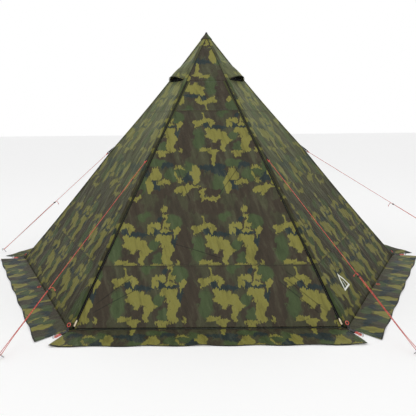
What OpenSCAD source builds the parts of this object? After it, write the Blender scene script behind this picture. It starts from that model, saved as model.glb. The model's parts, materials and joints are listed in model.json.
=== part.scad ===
// Six-sided single-pole pyramid tent, pitched, with its guy lines and pegs.
// The origin is on the ground under the pole. +Z is up and the door faces -Y.
// Corner 0 points along +X, and the corners and walls count anticlockwise from above:
// wall 4 is the door side, walls 3 and 5 stand left and right of it.

/* [Canopy] */
// Distance from the pole to each corner of the base
base_radius = 1830; // [1500:10:2300]
// Height of the peak above the ground
peak_height = 2105; // [1750:5:2600]
// Thickness of the coated wall cloth with its folded seams
cloth_t = 3; // [2:0.5:5]
// Cut back of the wall tops around the pole tip, below the peak
peak_cut = 28; // [24:1:34]
// Width of the flap that lies on the ground along each wall
skirt_w = 220; // [120:5:320]
// How far each end of a ground flap flares past its corner
skirt_flare = 58; // [20:1:70]
// Thickness of the ground flap
skirt_t = 2.5; // [1.5:0.5:4]
// Thickness of the groundsheet
groundsheet_t = 2; // [1:0.5:4]

/* [Ridge tape and door] */
// Width of the binding tape on each side of a ridge
tape_w = 20; // [14:1:26]
// Thickness of the ridge binding tape
tape_t = 2; // [1:0.5:3]
// Distance from a front ridge to the middle of its zip
zip_inset = 28; // [27:1:34]
// Width of the closed zip chain
zip_chain_w = 6; // [4:0.5:8]
// Height of the closed zip chain above its tape
zip_chain_h = 2.5; // [1.5:0.5:4]
// Share of the way up the front wall at which the door and its zips end
door_top_share = 0.79; // [0.7:0.01:0.84]
// Width of the band along the bottom of the door
door_hem_w = 45; // [25:1:80]
// How far each top corner of the door is cut back, so that the door clears an open zip's pull
door_relief = 14; // [12:1:24]
// Length of the door's edge over which that cut runs out
door_relief_len = 600; // [500:10:900]

/* [Zip slider] */
// Width of the slider across the zip
slider_w = 12; // [10:0.5:13]
// Length of the slider along the zip
slider_len = 22; // [16:1:30]
// Thickness of the slider's top plate
slider_plate = 2.4; // [1.5:0.1:4]
// Radius of the pin that holds the pull
pull_pin_r = 1.2; // [1:0.1:1.6]
// Length of the pull from its pin to its end
pull_len = 40; // [35:1:70]
// Width of the pull
pull_w = 11; // [8:0.5:13]
// Thickness of the pull
pull_t = 2.4; // [2:0.2:3]

/* [Vents] */
// Share of the way up the wall at which the hood's rim hangs
hood_rim_share = 0.8; // [0.76:0.01:0.82]
// Share of the way up the wall at which the hood is sewn on
hood_top_share = 0.885; // [0.86:0.005:0.9]
// How far the middle of the rim stands off the wall
hood_rise = 58; // [30:1:80]
// Thickness of the hood cloth
hood_t = 2.4; // [1.5:0.1:4]
// Radius of the stiffener sewn into the hood's rim
stiffener_r = 3; // [2:0.5:5]
// Height of the vent window up the wall's slope
vent_h = 100; // [60:5:130]

/* [Pole] */
// Outside radius of the steel pole
pole_r = 12.5; // [9:0.5:16]
// Wall of the pole's tube
pole_wall = 1.2; // [1:0.1:2]
// Length of the sleeve that joins two pole sections
ferrule_len = 140; // [80:5:200]
// Radius of the rubber foot
foot_r = 34; // [24:1:50]
// Height of the rubber foot
foot_h = 42; // [25:1:60]
// Wall of the cap over the peak
cap_wall = 3; // [2:0.5:5]
// How far down from the peak the cap reaches
cap_drop = 56; // [46:1:80]

/* [Guy lines] */
// Share of the way up each ridge at which its guy tab is sewn
tab_share = 0.504; // [0.4:0.002:0.6]
// Length of the tab's sewn edge
tab_base = 84; // [50:1:120]
// Reach of the tab from the ridge to its tip
tab_reach = 52; // [35:1:80]
// Angle between a tab and its ridge, in degrees
tab_slope = 13; // [4:1:24]
// Thickness of a webbing tab
tab_t = 3; // [2:0.5:4]
// Radius of the eyelet in a tab
eyelet_r = 4; // [3:0.5:5]
// Diameter of the guy line
cord_d = 4; // [3:0.5:5]
// Thickness of a line tensioner along the line
tensioner_t = 8; // [5:1:12]

/* [Pegs and corner straps] */
// Radius of a peg's steel rod
peg_r = 3; // [2.5:0.5:4]
// Length of a peg below its hook
peg_len = 175; // [120:5:220]
// Distance from a corner of the canopy to its peg
corner_peg_gap = 104; // [90:1:130]
// Lean of a corner peg away from the tent, in degrees
corner_peg_lean = 12; // [0:1:20]
// Width of the corner webbing
strap_w = 20; // [15:1:25]
// Thickness of the corner webbing
strap_t = 2; // [1:0.5:3]
// Thickness of a corner buckle
buckle_t = 5; // [4:0.5:7]

/* [Hidden] */
$fn = 48;

// Clearance between neighbouring pieces
gap = 0.3;
camo = [0.27, 0.31, 0.18];
webbing = [0.10, 0.10, 0.09];
steel = [0.70, 0.71, 0.73];
cord_red = [0.78, 0.20, 0.16];

// Angles and lengths of the pyramid: a wall's middle line, a ridge, and the fold between two walls
apothem = base_radius * cos(30);
slant = sqrt(apothem * apothem + peak_height * peak_height);
wall_slope = atan2(peak_height, apothem);
ridge_len = sqrt(base_radius * base_radius + peak_height * peak_height);
ridge_lean = atan2(base_radius, peak_height);
wall_half_angle = atan2(base_radius / 2, slant);
fold = asin(sin(wall_slope) * sin(30));
function half_width(y) = base_radius / 2 * (1 - y / slant);
function inset_width(y, inset) = half_width(y) - inset / cos(wall_half_angle);

// Heights up a wall's slope
wall_foot_y = (skirt_t + gap + cloth_t * cos(wall_slope)) / sin(wall_slope);
wall_top_y = slant - peak_cut / sin(wall_slope);
door_foot_y = wall_foot_y + 10;
door_top_y = door_top_share * slant;
door_inset = zip_inset + slider_w / 2 + gap;
hood_rim_y = hood_rim_share * slant;
hood_top_y = hood_top_share * slant;
vent_foot_y = hood_rim_y - 10;

// Lengths along a ridge
tape_foot_s = (skirt_t + gap + tape_w * 0.3) / cos(ridge_lean) + 2;
tape_top_s = ridge_len - (cap_drop + 8) / cos(ridge_lean);
zip_foot_s = tape_foot_s + 8;
zip_top_s = door_top_share * ridge_len;
zip_back = -gap - 0.1;
zip_tape_t = 1.6;
slider_foot_s = zip_foot_s + pull_len + 6;
slider_base = gap;
slider_top = zip_back + zip_chain_h + gap + slider_plate;
pull_n = slider_top + pull_pin_r + 2;

// Pole sections stand on the foot's floor and end just under the pole tip
foot_floor = 6;
pole_foot_z = groundsheet_t + 0.1 + foot_floor;
tip_taper = 20;
tip_nose_r = 7.5;
// Depth of the cap's ceiling below the peak: the pole's nose carries the cap there
cap_ceiling = 10;
pole_top_z = peak_height - cap_ceiling - gap - tip_nose_r - tip_taper;
pole_step = (pole_top_z - pole_foot_z) / 4;
ferrule_r = pole_r - pole_wall - 0.1;

// Guy lines: [name, corner, how far the peg stands beyond the corner, how far it stands
// sideways, length of the doubled part]
guy_lines = [
    ["front_left", 4, 440, -85, 450],
    ["front_right", 5, 440, 85, 540],
    ["left", 3, 300, -230, 800],
    ["right", 0, 785, 240, 900]
];
// Route of a guy line from its tab: [distance from the peg, sideways, up]. It runs down to the peg,
// round it and back up through the tensioner, where a short tail hangs from a knot.
// Radius of the route's bend round the peg
bend_r = 8;
strand_gap = 7;
cord_bend = [[40, 0, 0], [20, 0, 0], [0, 0, 0], [-4, 1.1, 0], [-6.9, 4, 0], [-8, 8, 0], [-6.9, 12, 0],
    [-4, 14.9, 0], [0, 16, 0], [30, 14.5, 0], [60, 11, 0], [95, 8, 0], [130, 7, 0]];
cord_tail = [[16, 7, 0], [25, 8, -3], [30, 9, -11], [31, 10, -22], [29, 11, -36]];
peg_hold_z = 28;

// A tab droops at a fixed angle to its ridge, so a flatter or steeper ridge never meets it
tab_droop = 90 - ridge_lean - tab_slope;
function tab_at(c, reach) = let(r = base_radius * (1 - tab_share) + reach * cos(tab_droop),
    z = peak_height * tab_share - reach * sin(tab_droop)) [r * cos(60 * c), r * sin(60 * c), z];
function peg_point(g) = let(a = 60 * g[1], r = base_radius + g[2])
    [r * cos(a) - g[3] * sin(a), r * sin(a) + g[3] * cos(a), peg_hold_z];
function unit(v) = v / norm(v);
// A line's end is cut square, so at an angle to its tab its rim reaches back: the gap is left from the rim
function rim_back(g) = cord_d / 2 * norm(cross(unit(tab_at(g[1], tab_reach) - tab_at(g[1], 0)),
    unit(peg_point(g) - tab_at(g[1], tab_reach))));
function line_start(g) = tab_at(g[1], tab_reach + gap + rim_back(g));
function line_dir(g) = unit(peg_point(g) - line_start(g));
function line_side(g) = unit(cross([0, 0, 1], line_dir(g)));
function line_up(g) = cross(line_dir(g), line_side(g));
function line_len(g) = norm(peg_point(g) - line_start(g));
function guy_route(g) = concat([[line_len(g), 0, 0], [g[4] + 200, 0, 0], [200, 0, 0]], cord_bend,
    [[200, strand_gap, 0]], [for (p = cord_tail) [g[4] + p[0], p[1], p[2]]]);
function on_line(g, p) = peg_point(g) - line_dir(g) * p[0] + line_side(g) * p[1] + line_up(g) * p[2];

// ---- Frames -------------------------------------------------------------

// Wall i: x along the wall, y up its slope from the ground, z outwards
module on_wall(i) {
    rotate([0, 0, 60 * i + 30]) translate([apothem, 0, 0]) rotate([0, 0, 90]) rotate([wall_slope, 0, 0])
        children();
}

// Ridge c, seen along the ridge: x across it, y outwards, z up the ridge from s
module on_ridge(c, s = 0) {
    rotate([0, 0, 60 * c]) translate([base_radius, 0, 0]) rotate([0, 0, -90]) rotate([ridge_lean, 0, 0])
        translate([0, 0, s]) children();
}

// The strip of wall beside ridge c: x away from the ridge times side, y off the wall, z up the ridge
module beside_ridge(c, side, s = 0) {
    on_ridge(c, s) rotate([0, 0, -side * fold]) children();
}

// Corner c on the ground: x outwards from the pole, measured from the corner
module on_corner(c, reach = 0) {
    rotate([0, 0, 60 * c]) translate([base_radius + reach, 0, 0]) children();
}

// The loop plane of guy line g, at a distance from its peg: x along the line, y across it, z up
module on_guy(g, from_peg = 0) {
    d = line_dir(g);
    e = line_side(g);
    n = line_up(g);
    p = on_line(g, [from_peg, 0, 0]);
    multmatrix([[d[0], e[0], n[0], p[0]], [d[1], e[1], n[1], p[1]], [d[2], e[2], n[2], p[2]], [0, 0, 0, 1]])
        children();
}

// ---- Shared shapes ------------------------------------------------------

// A closed shell between two grids of points, outer and inner, row by row
module sheet(outer, inner) {
    rows = len(outer);
    cols = len(outer[0]);
    count = rows * cols;
    points = concat([for (row = outer) for (p = row) p], [for (row = inner) for (p = row) p]);
    function at(r, c) = r * cols + c;
    top = [for (r = [0 : rows - 2]) for (c = [0 : cols - 2])
        for (f = [[at(r, c), at(r + 1, c), at(r + 1, c + 1)], [at(r, c), at(r + 1, c + 1), at(r, c + 1)]]) f];
    rim = concat([for (c = [0 : cols - 1]) at(0, c)], [for (r = [1 : rows - 1]) at(r, cols - 1)],
        [for (c = [cols - 2 : -1 : 0]) at(rows - 1, c)], [for (r = [rows - 2 : -1 : 1]) at(r, 0)]);
    back = [for (f = top) [f[2] + count, f[1] + count, f[0] + count]];
    edge = [for (k = [0 : len(rim) - 1]) let(a = rim[k], b = rim[(k + 1) % len(rim)])
        for (f = [[a, b, b + count], [a, b + count, a + count]]) f];
    polyhedron(points, concat(top, back, edge));
}

// A round tube swept along points, its rings square to the route and turned to "up"
module swept_tube(path, r, up, sides) {
    last = len(path) - 1;
    rings = [for (i = [0 : last])
        let(t = unit(path[min(i + 1, last)] - path[max(i - 1, 0)]), b = unit(cross(t, up)), a = cross(b, t))
        for (k = [0 : sides - 1]) path[i] + r * (a * cos(360 * k / sides) + b * sin(360 * k / sides))];
    walls = [for (i = [0 : last - 1]) for (k = [0 : sides - 1])
        let(j = (k + 1) % sides, p = i * sides)
        for (f = [[p + k, p + j, p + sides + j], [p + k, p + sides + j, p + sides + k]]) f];
    polyhedron(rings, concat(walls, [[for (k = [sides - 1 : -1 : 0]) k]],
        [[for (k = [0 : sides - 1]) last * sides + k]]));
}

// The space between the two ridges of wall i, so that neighbouring walls meet in a mitre
module wall_sector(i) {
    rotate([0, 0, 60 * i + 30]) linear_extrude(2 * peak_height + 20, center = true)
        polygon([[gap, 0], [2 * base_radius, 2 * base_radius * tan(30) - gap], [2 * base_radius, gap - 2
            * base_radius * tan(30)]]);
}

// A wall's cloth between two heights up its slope
module wall_cloth(i, y0, y1) {
    intersection() {
        on_wall(i) translate([0, 0, -cloth_t]) linear_extrude(cloth_t)
            polygon([[-half_width(y0) - 5, y0], [half_width(y0) + 5, y0], [half_width(y1) + 5, y1],
                [-half_width(y1) - 5, y1]]);
        wall_sector(i);
    }
}

module vent_window(inset) {
    y0 = vent_foot_y + inset;
    y1 = vent_foot_y + vent_h - inset;
    edge = tape_w + 18 + inset;
    polygon([[-inset_width(y0, edge), y0], [inset_width(y0, edge), y0], [inset_width(y1, edge), y1],
        [-inset_width(y1, edge), y1]]);
}

// A hooked rod peg: the origin is where the cord bears on it, and +x is the side that the hook turns to
module peg(below) {
    hook_r = bend_r + peg_r - 1;
    stem = cord_d + 3;
    translate([0, 0, -below + 14]) cylinder(r = peg_r, h = below - 14 + stem);
    translate([0, 0, -below]) cylinder(r1 = 0.6, r2 = peg_r, h = 14);
    translate([hook_r, 0, stem]) rotate([90, 0, 0]) rotate_extrude(angle = 180) translate([hook_r, 0])
        circle(r = peg_r);
    translate([2 * hook_r, 0, stem - 7]) cylinder(r = peg_r, h = 7);
}

// ---- Pole ---------------------------------------------------------------

module groundsheet() {
    color([0.22, 0.24, 0.22]) linear_extrude(groundsheet_t)
        circle(r = base_radius - 12, $fn = 6);
}

module pole_foot() {
    color(webbing) translate([0, 0, groundsheet_t + 0.1]) difference() {
        rotate_extrude() polygon([[0, 0], [foot_r, 0], [foot_r, 6], [pole_r + 6, 14],
            [pole_r + 5, foot_h], [0, foot_h]]);
        translate([0, 0, foot_floor - 0.1]) cylinder(r = pole_r + 0.1, h = foot_h);
    }
}

module pole_section(k) {
    color(steel) translate([0, 0, pole_foot_z + (k - 1) * pole_step]) difference() {
        cylinder(r = pole_r, h = pole_step - 0.1);
        translate([0, 0, -1]) cylinder(r = pole_r - pole_wall, h = pole_step + 2);
    }
}

module pole_ferrules() {
    color(steel) for (k = [1 : 3])
        translate([0, 0, pole_foot_z + k * pole_step - ferrule_len / 2]) difference() {
        cylinder(r = ferrule_r, h = ferrule_len);
        translate([0, 0, -1]) cylinder(r = ferrule_r - pole_wall, h = ferrule_len + 2);
    }
}

module pole_tip() {
    color(webbing) translate([0, 0, pole_top_z]) {
        translate([0, 0, -40]) cylinder(r = ferrule_r, h = 41);
        cylinder(r1 = pole_r, r2 = tip_nose_r, h = tip_taper);
        translate([0, 0, tip_taper]) rotate_extrude() intersection() {
            circle(r = tip_nose_r);
            square(tip_nose_r);
        }
    }
}

// The cap follows the ridges: a cone that clears them, closed and rounded over the pole tip
module peak_cap() {
    rise = base_radius / peak_height;
    foot_in = cap_drop * rise + 0.5;
    neck = 14;
    neck_in = neck * rise + 0.5;
    top_r = 10;
    color(webbing) difference() {
        rotate_extrude() union() {
            polygon([[0, peak_height - cap_drop], [foot_in + cap_wall, peak_height - cap_drop],
                [neck_in + cap_wall, peak_height - neck], [top_r, peak_height - 4], [0, peak_height - 4]]);
            translate([0, peak_height - 4]) intersection() {
                circle(r = top_r);
                translate([0, -1]) square(top_r + 1);
            }
        }
        rotate_extrude() polygon([[0, peak_height - cap_drop - 1],
            [foot_in + rise, peak_height - cap_drop - 1],
            [neck_in, peak_height - neck], [neck_in - 2, peak_height - cap_ceiling],
                [0, peak_height - cap_ceiling]]);
    }
}

// ---- Walls, ridges and skirts -------------------------------------------

module wall(i) {
    color(camo) wall_cloth(i, wall_foot_y, wall_top_y);
}

module vented_wall(i) {
    color(camo) difference() {
        wall_cloth(i, wall_foot_y, wall_top_y);
        on_wall(i) translate([0, 0, -cloth_t - 1]) linear_extrude(cloth_t + 2) vent_window(0);
    }
}

module front_top_panel() {
    color(camo) wall_cloth(4, door_top_y + gap, wall_top_y);
}

// A point of the ridge tape's section, a distance from the fold and a height off the wall
function tape_at(side, d, n) = [side * (d * cos(fold) + n * sin(fold)), n * cos(fold) - d * sin(fold)];

module ridge_tape(c) {
    color(webbing) on_ridge(c, tape_foot_s) linear_extrude(tape_top_s - tape_foot_s)
        polygon([[0, (gap + tape_t) / cos(fold)], tape_at(1, tape_w, gap + tape_t), tape_at(1, tape_w, gap),
            [0, gap / cos(fold)], tape_at(-1, tape_w, gap), tape_at(-1, tape_w, gap + tape_t)]);
}

module skirt(i) {
    half = base_radius / 2 - 2;
    color(camo) rotate([0, 0, 60 * i + 30]) translate([apothem, 0, 0]) linear_extrude(skirt_t)
        polygon([[-9, -half + 6], [-9, half - 6], [skirt_w, half + skirt_flare],
            [skirt_w, -half - skirt_flare]]);
}

// ---- Door and zips ------------------------------------------------------

module door_panel() {
    a = inset_width(door_foot_y, door_inset);
    relief_y = door_top_y - door_relief_len;
    b = inset_width(relief_y, door_inset);
    c = inset_width(door_top_y, door_inset + door_relief);
    color(camo) on_wall(4) translate([0, 0, -cloth_t]) linear_extrude(cloth_t)
        polygon([[-a, door_foot_y], [a, door_foot_y], [b, relief_y], [c, door_top_y], [-c, door_top_y],
            [-b, relief_y]]);
}

module door_hem() {
    y1 = door_foot_y + door_hem_w;
    a = inset_width(door_foot_y, door_inset);
    b = inset_width(y1, door_inset);
    color(camo * 0.8) on_wall(4) translate([0, 0, 0.1]) linear_extrude(1.5)
        polygon([[-a, door_foot_y], [a, door_foot_y], [b, y1], [-b, y1]]);
}

// The closed zip: its tape lies under the ridge tape, and its chain stands on the tape
module zip_run(c, side) {
    edge = door_inset - gap;
    color(webbing) beside_ridge(c, side, zip_foot_s) {
        linear_extrude(zip_top_s - zip_foot_s) polygon([[side * 4, zip_back - zip_tape_t],
            [side * 4, zip_back],
            [side * edge, zip_back], [side * edge, zip_back - zip_tape_t]]);
        translate([side * zip_inset - zip_chain_w / 2, zip_back - 0.5, 0])
            cube([zip_chain_w, zip_chain_h + 0.5, zip_top_s - zip_foot_s]);
    }
}

// An inverted channel over the chain, with two ears and the pin that holds the pull
module zip_slider(c, side) {
    color([0.20, 0.20, 0.20]) beside_ridge(c, side, slider_foot_s) translate([side * zip_inset, 0, 0]) {
        difference() {
            translate([-slider_w / 2, slider_base, 0]) cube([slider_w, slider_top - slider_base, slider_len]);
            translate([-zip_chain_w / 2 - gap, -1, -1])
                cube([zip_chain_w + 2 * gap, 1 + slider_top - slider_plate, slider_len + 2]);
        }
        for (x = [-slider_w / 2, slider_w / 2 - 1.6]) translate([x, slider_top - 0.5, slider_len / 2 - 3])
            cube([1.6, pull_n - slider_top + pull_pin_r + 2, 6]);
        translate([-slider_w / 2, pull_n, slider_len / 2])
            rotate([0, 90, 0]) cylinder(r = pull_pin_r, h = slider_w);
    }
}

module zip_pull(c, side) {
    eye_w = slider_w - 2 * (1.6 + gap);
    bore = pull_pin_r + gap;
    color([0.80, 0.76, 0.66]) beside_ridge(c, side, slider_foot_s + slider_len / 2)
        translate([side * zip_inset, pull_n, 0]) difference() {
            union() {
                translate([-eye_w / 2, 0, 0]) rotate([0, 90, 0]) cylinder(r = bore + 1, h = eye_w);
                translate([-eye_w / 2, -pull_t / 2, -10]) cube([eye_w, pull_t, 10]);
                translate([-pull_w / 2, -pull_t / 2, -pull_len]) cube([pull_w, pull_t, pull_len - 9]);
            }
            translate([-slider_w, 0, 0]) rotate([0, 90, 0]) cylinder(r = bore, h = 2 * slider_w);
        }
}

// ---- Vents --------------------------------------------------------------

module vent_mesh(i) {
    color([0.13, 0.13, 0.12]) on_wall(i) translate([0, 0, -cloth_t]) linear_extrude(1) vent_window(gap);
}

// A point of the hood: a from -1 to 1 across the wall, v from 0 at the seam to 1 at the rim
function hood_at(a, v, n) = let(y = hood_top_y + (hood_rim_y - hood_top_y) * v)
    [a * inset_width(y, tape_w + 2), y, gap + n + hood_rise * sin(90 * v) * (1 - a * a)];

module vent_hood(i) {
    function grid(n) = [for (v = [0 : 0.25 : 1]) [for (a = [-1 : 0.125 : 1]) hood_at(a, v, n)]];
    color(camo) on_wall(i) sheet(grid(hood_t), grid(0));
}

module hood_stiffener(i) {
    drop = [0, -stiffener_r - gap, hood_t / 2 + stiffener_r - 1];
    path = [for (a = [-0.95 : 0.1 : 0.96]) hood_at(a, 1, 0) + drop];
    color(webbing) on_wall(i) swept_tube(path, stiffener_r, [0, 1, 0], 10);
}

// ---- Guy lines, tensioners and pegs -------------------------------------

// Webbing triangles that stand off the ridges, each with an eyelet near its tip
module guy_tabs() {
    lift = (gap + tape_t) / cos(fold) + 0.2;
    start = [base_radius * (1 - tab_share), peak_height * tab_share];
    along = [-sin(ridge_lean), cos(ridge_lean)];
    out = [cos(ridge_lean), sin(ridge_lean)];
    tip = start + tab_reach * [cos(tab_droop), -sin(tab_droop)];
    eye = start + (tab_reach - 12) * [cos(tab_droop), -sin(tab_droop)];
    a = start + out * lift - along * tab_base / 2;
    b = start + out * lift + along * tab_base / 2;
    across = [sin(tab_droop), cos(tab_droop)];
    color(webbing) for (c = [0 : 5]) rotate([0, 0, 60 * c]) rotate([90, 0, 0])
        translate([0, 0, -tab_t / 2]) linear_extrude(tab_t) difference() {
            polygon([a, tip - across * 9, tip + across * 9, b]);
            translate(eye) circle(r = eyelet_r);
        }
}

module guy_line(g) {
    color(cord_red) swept_tube([for (p = guy_route(g)) on_line(g, p)], cord_d / 2, line_up(g), 8);
}

// A bar with a hole for each strand
module tensioner(g) {
    hole_r = cord_d / 2 + gap;
    margin = 7;
    color(webbing) on_guy(g, g[4]) difference() {
        translate([-tensioner_t / 2, -margin, -6]) cube([tensioner_t, strand_gap + 2 * margin, 12]);
        for (y = [0, strand_gap]) translate([-tensioner_t, y, 0]) rotate([0, 90, 0])
            cylinder(r = hole_r, h = 2 * tensioner_t);
    }
}

module guy_peg(g) {
    seat = bend_r - cord_d / 2 - peg_r - gap;
    color(steel) on_guy(g) translate([seat, bend_r, 0]) peg(peg_len);
}

// ---- Corners ------------------------------------------------------------

// The strap leaves the ridge's foot and lies down over the flaps to its buckle
strap_z = skirt_t + gap;
buckle_reach = 34;
buckle_len = 30;

module corner_straps() {
    rise = 26;
    color(webbing) for (c = [0 : 5]) on_corner(c) rotate([90, 0, 0]) translate([0, 0, -strap_w / 2])
        linear_extrude(strap_w) polygon([[8, strap_z], [buckle_reach + 2, strap_z],
            [buckle_reach + 2, strap_z + strap_t],
            [9, strap_z + strap_t], [6 - rise * 0.55, strap_z + rise], [4 - rise * 0.55, strap_z + rise]]);
}

module corner_buckles() {
    slot = strap_w + 2;
    color([0.08, 0.08, 0.08]) for (c = [0 : 5]) on_corner(c, buckle_reach)
        translate([0, 0, strap_z]) difference() {
        translate([0, -strap_w / 2 - 6, 0]) cube([buckle_len, strap_w + 12, buckle_t]);
        for (x = [-1, buckle_len - 8])
            translate([x, -slot / 2, -1]) cube([x < 0 ? 7 : 4, slot, buckle_t + 2]);
        translate([12, -slot / 2, -1]) cube([4, slot, buckle_t + 2]);
    }
}

// A ring of webbing from the buckle round the peg
module corner_loops() {
    start = buckle_reach + buckle_len + gap;
    reach = corner_peg_gap + peg_r + gap + 2 - start;
    outer = 9;
    color(cord_red) for (c = [0 : 5]) on_corner(c, start) translate([0, 0, strap_z])
        linear_extrude(5) difference() {
        hull() {
            translate([0, -outer]) square([4, 2 * outer]);
            translate([reach - outer + 2, 0]) circle(r = outer, $fn = 24);
        }
        hull() {
            translate([4, -outer + 4]) square([2, 2 * outer - 8]);
            translate([reach - outer + 2, 0]) circle(r = outer - 4, $fn = 24);
        }
    }
}

module corner_pegs() {
    seat = 0.6;
    color(steel) for (c = [0 : 5]) on_corner(c, corner_peg_gap - seat) translate([0, 0, strap_z + 2.5])
        rotate([0, corner_peg_lean, 0]) peg(peg_len);
}

// Short cord loops that lie on the flaps at the foot of the walls beside and behind the door
module side_loops() {
    color(cord_red) for (i = [0, 1, 2, 3, 5]) rotate([0, 0, 60 * i + 30])
        translate([apothem + 22, 0, skirt_t + gap + 2])
        rotate_extrude() translate([14, 0]) circle(r = 2);
}

// -------------------------------------------------------------------------

groundsheet();
pole_foot();
pole_section(1);  // pole_section_1
pole_section(2);  // pole_section_2
pole_section(3);  // pole_section_3
pole_section(4);  // pole_section_4
pole_ferrules();
pole_tip();
peak_cap();
wall(0);  // wall_rear_right
wall(1);  // wall_rear
wall(2);  // wall_rear_left
vented_wall(3);  // wall_front_left
vented_wall(5);  // wall_front_right
front_top_panel();
ridge_tape(0);  // ridge_tape_right
ridge_tape(1);  // ridge_tape_rear_right
ridge_tape(2);  // ridge_tape_rear_left
ridge_tape(3);  // ridge_tape_left
ridge_tape(4);  // ridge_tape_front_left
ridge_tape(5);  // ridge_tape_front_right
skirt(0);  // skirt_rear_right
skirt(1);  // skirt_rear
skirt(2);  // skirt_rear_left
skirt(3);  // skirt_front_left
skirt(4);  // skirt_front
skirt(5);  // skirt_front_right
door_panel();
door_hem();
zip_run(4, -1);  // zip_left
zip_run(5, 1);  // zip_right
zip_slider(4, -1);  // zip_slider_left
zip_slider(5, 1);  // zip_slider_right
zip_pull(4, -1);  // zip_pull_left
zip_pull(5, 1);  // zip_pull_right
vent_mesh(3);  // vent_mesh_left
vent_mesh(5);  // vent_mesh_right
vent_hood(3);  // vent_hood_left
vent_hood(5);  // vent_hood_right
hood_stiffener(3);  // hood_stiffener_left
hood_stiffener(5);  // hood_stiffener_right
guy_tabs();
guy_line(guy_lines[0]);  // guy_line_front_left
guy_line(guy_lines[1]);  // guy_line_front_right
guy_line(guy_lines[2]);  // guy_line_left
guy_line(guy_lines[3]);  // guy_line_right
tensioner(guy_lines[0]);  // tensioner_front_left
tensioner(guy_lines[1]);  // tensioner_front_right
tensioner(guy_lines[2]);  // tensioner_left
tensioner(guy_lines[3]);  // tensioner_right
guy_peg(guy_lines[0]);  // guy_peg_front_left
guy_peg(guy_lines[1]);  // guy_peg_front_right
guy_peg(guy_lines[2]);  // guy_peg_left
guy_peg(guy_lines[3]);  // guy_peg_right
corner_straps();
corner_buckles();
corner_loops();
corner_pegs();
side_loops();
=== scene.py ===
# %% [markdown]
# # A six-sided pyramid tent
# The tent is printed cloth stretched over one centre pole. Its ridges carry the load down to six
# corner pegs, and four guy lines pull the ridges outwards half way up. The frame that is loaded here
# holds every solid at its real place, so each soft piece is drawn in the same coordinates, in metres.
# %% Load the frame
import json
import math
import bmesh
import bpy
import numpy as np
from mathutils import Matrix, Vector


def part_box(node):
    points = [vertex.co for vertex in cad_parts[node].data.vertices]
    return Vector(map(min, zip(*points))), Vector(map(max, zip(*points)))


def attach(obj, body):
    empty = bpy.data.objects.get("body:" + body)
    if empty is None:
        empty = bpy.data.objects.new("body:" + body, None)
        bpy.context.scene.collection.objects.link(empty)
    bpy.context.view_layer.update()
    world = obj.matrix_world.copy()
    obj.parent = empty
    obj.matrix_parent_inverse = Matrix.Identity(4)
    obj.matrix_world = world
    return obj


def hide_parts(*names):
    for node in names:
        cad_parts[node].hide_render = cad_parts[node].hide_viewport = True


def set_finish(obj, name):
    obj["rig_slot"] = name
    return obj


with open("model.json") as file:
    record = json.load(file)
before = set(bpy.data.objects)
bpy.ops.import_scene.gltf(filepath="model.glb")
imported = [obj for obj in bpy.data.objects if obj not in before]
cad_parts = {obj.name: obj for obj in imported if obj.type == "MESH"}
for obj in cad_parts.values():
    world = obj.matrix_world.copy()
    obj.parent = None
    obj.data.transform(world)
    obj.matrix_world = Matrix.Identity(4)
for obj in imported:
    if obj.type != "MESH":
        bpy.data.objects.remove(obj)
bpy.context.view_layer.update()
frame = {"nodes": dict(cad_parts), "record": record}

# %% [markdown]
# ## The sizes that everything follows
# The radius to a corner and the height of the peak are read off the frame. Every other angle and
# length of the pyramid comes from those two, so a wall, a seam and a ridge always agree. Corners are
# counted from 0 on the right, and wall n stands between corners n and n + 1, so the front is wall 4.
# %% Work out the pyramid
CORNER_INSET = 0.012
CAP_CROWN = 0.006
base_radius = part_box("groundsheet")[1].x + CORNER_INSET
peak_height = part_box("peak_cap")[1].z - CAP_CROWN
apothem = base_radius * math.cos(math.radians(30))
slant = math.hypot(apothem, peak_height)
slope = math.atan2(peak_height, apothem)
wall_half_angle = math.atan2(base_radius / 2, slant)
up_z = np.array([0.0, 0.0, 1.0])
FRONT = 4
print(f"corner radius {base_radius:.3f} m, peak {peak_height:.3f} m, slant {slant:.3f} m")


def radial(corner):
    """The level direction from the pole to a corner."""
    angle = math.radians(60 * corner)
    return np.array([math.cos(angle), math.sin(angle), 0.0])


def wall_axes(wall):
    """The level directions out through a wall and along it."""
    out = radial(wall + 0.5)
    return out, np.cross(up_z, out)


def half_width(y):
    """Half the width of a wall, at a distance y up its slope."""
    return base_radius / 2 * (1 - y / slant)


def inset_width(y, inset):
    """The same, measured to a line that runs an inset away from the ridge."""
    return half_width(y) - inset / math.cos(wall_half_angle)


# %% [markdown]
# ## Floor, light and camera
# A studio sweep is a pale floor under broad, soft light. A bright sky lights every side, and three
# large area lamps in front and above give the coated cloth its faint sheen. The sky has one strength
# as a light and another as a background, so the backdrop can be white without flooding the cloth.
# %% Floor and lights
SKY_LIGHT, SKY_SEEN = 0.90, 1.0


def deselect_all():
    bpy.ops.object.select_all(action="DESELECT")


def add_object(name, data):
    """A new object in the scene."""
    obj = bpy.data.objects.new(name, data)
    bpy.context.scene.collection.objects.link(obj)
    return obj


deselect_all()
bpy.ops.mesh.primitive_plane_add(size=60)
floor = bpy.context.object
floor.name = "studio_floor"
floor_finish = bpy.data.materials.new("studio_floor")
floor_finish.use_nodes = True
floor_shader = floor_finish.node_tree.nodes["Principled BSDF"]
floor_shader.inputs["Base Color"].default_value = (0.98, 0.98, 0.98, 1)
floor_shader.inputs["Roughness"].default_value = 0.9
floor.data.materials.append(floor_finish)

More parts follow.
